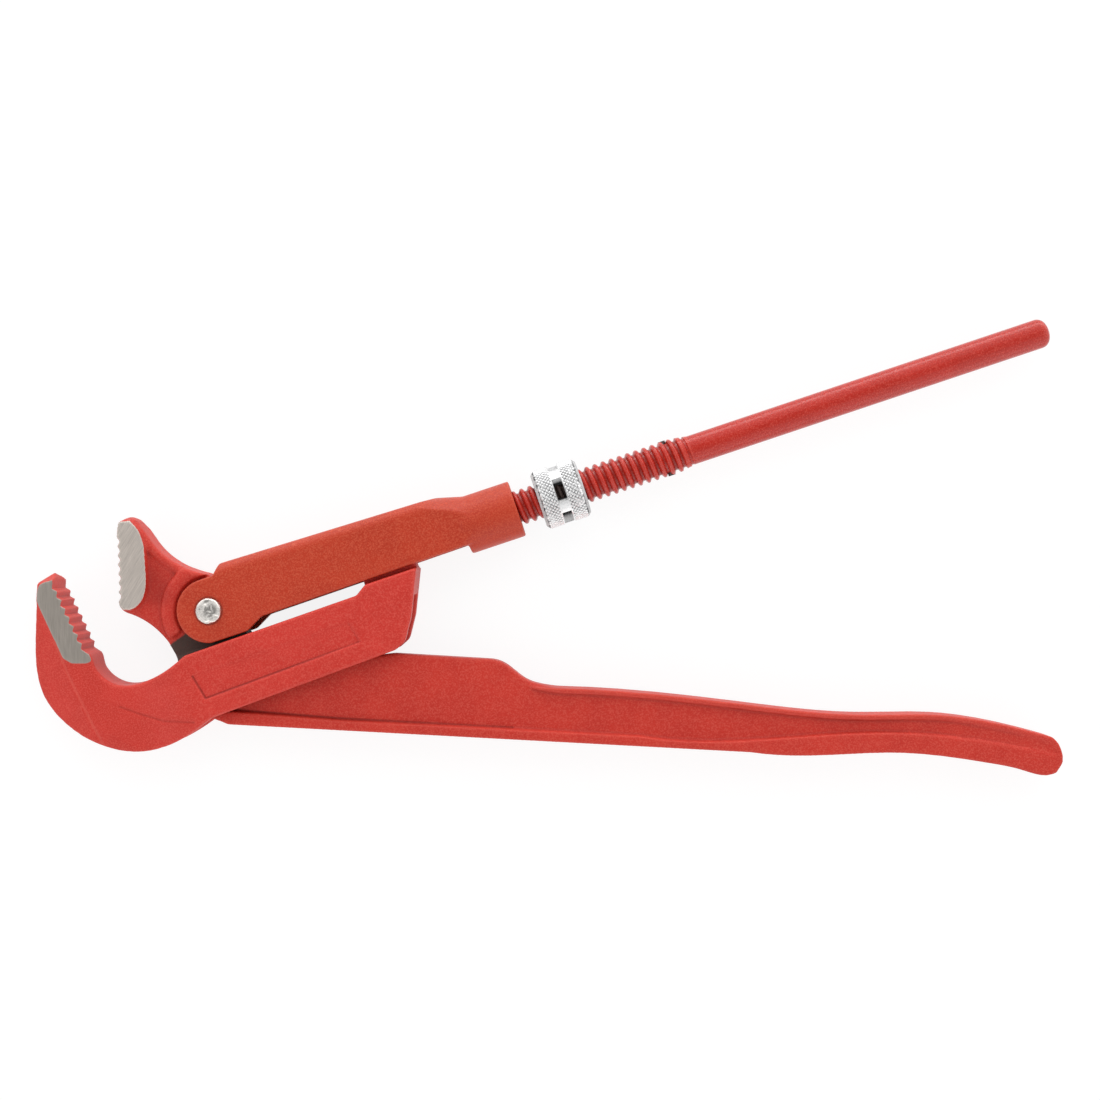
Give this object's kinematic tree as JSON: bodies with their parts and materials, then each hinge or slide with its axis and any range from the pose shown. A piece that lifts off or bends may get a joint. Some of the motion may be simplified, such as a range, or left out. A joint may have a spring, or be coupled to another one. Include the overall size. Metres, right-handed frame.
{
  "type": "pipe wrench",
  "caption": "Swedish pattern pipe wrench lying on its side: toothed hook jaw on a slotted frame, swinging jaw lever, sliding forked link, knurled nut on a threaded round handle.",
  "frame": {"origin": "bottom centre of the whole tool's box, on the plane of the side plates' back", "axes": "+X along the round handle rod towards its free end, +Y in the plane of the jaws from the lever handle towards the jaw tips, +Z out of the front, where the rivet's domed head is"},
  "size_m": [0.4334, 0.2178, 0.026],
  "materials": {
    "red_coat": "powder coat, satin, with the jaws ground bare",
    "red_coat_rod": "powder coat, semi gloss",
    "red_coat_link": "powder coat, satin",
    "plain_steel": "plain",
    "bright_plate": "bright zinc plate"
  },
  "bodies": {
    "hook_lever": {"hook_jaw_frame": "red_coat", "threaded_handle_rod": "red_coat_rod", "nut_stop_pin": "plain_steel"},
    "link": {"sleeve_link": "red_coat_link", "pivot_rivet": "bright_plate"},
    "jaw_lever": {"jaw_lever": "red_coat"},
    "nut": {"adjusting_nut": "bright_plate"}
  },
  "joints": [
    {"name": "link_slide", "type": "slide", "parent": "hook_lever", "child": "link", "axis": [1, 0, 0], "range_m": [-0.014, 0.033]},
    {"name": "jaw_swing", "type": "hinge", "parent": "link", "child": "jaw_lever", "pos_m": [-0.14081, 0.06181, 0.0125], "axis": [0, 0, 1], "range_deg": [-3, 12]},
    {"name": "nut_spin", "type": "hinge", "parent": "link", "child": "nut", "pos_m": [0, 0.06181, 0.0125], "axis": [1, 0, 0], "continuous": true}
  ],
  "couplings": [
    {"joint": "nut_spin", "follows": "link_slide", "rad_per_m": 1795.2}
  ]
}
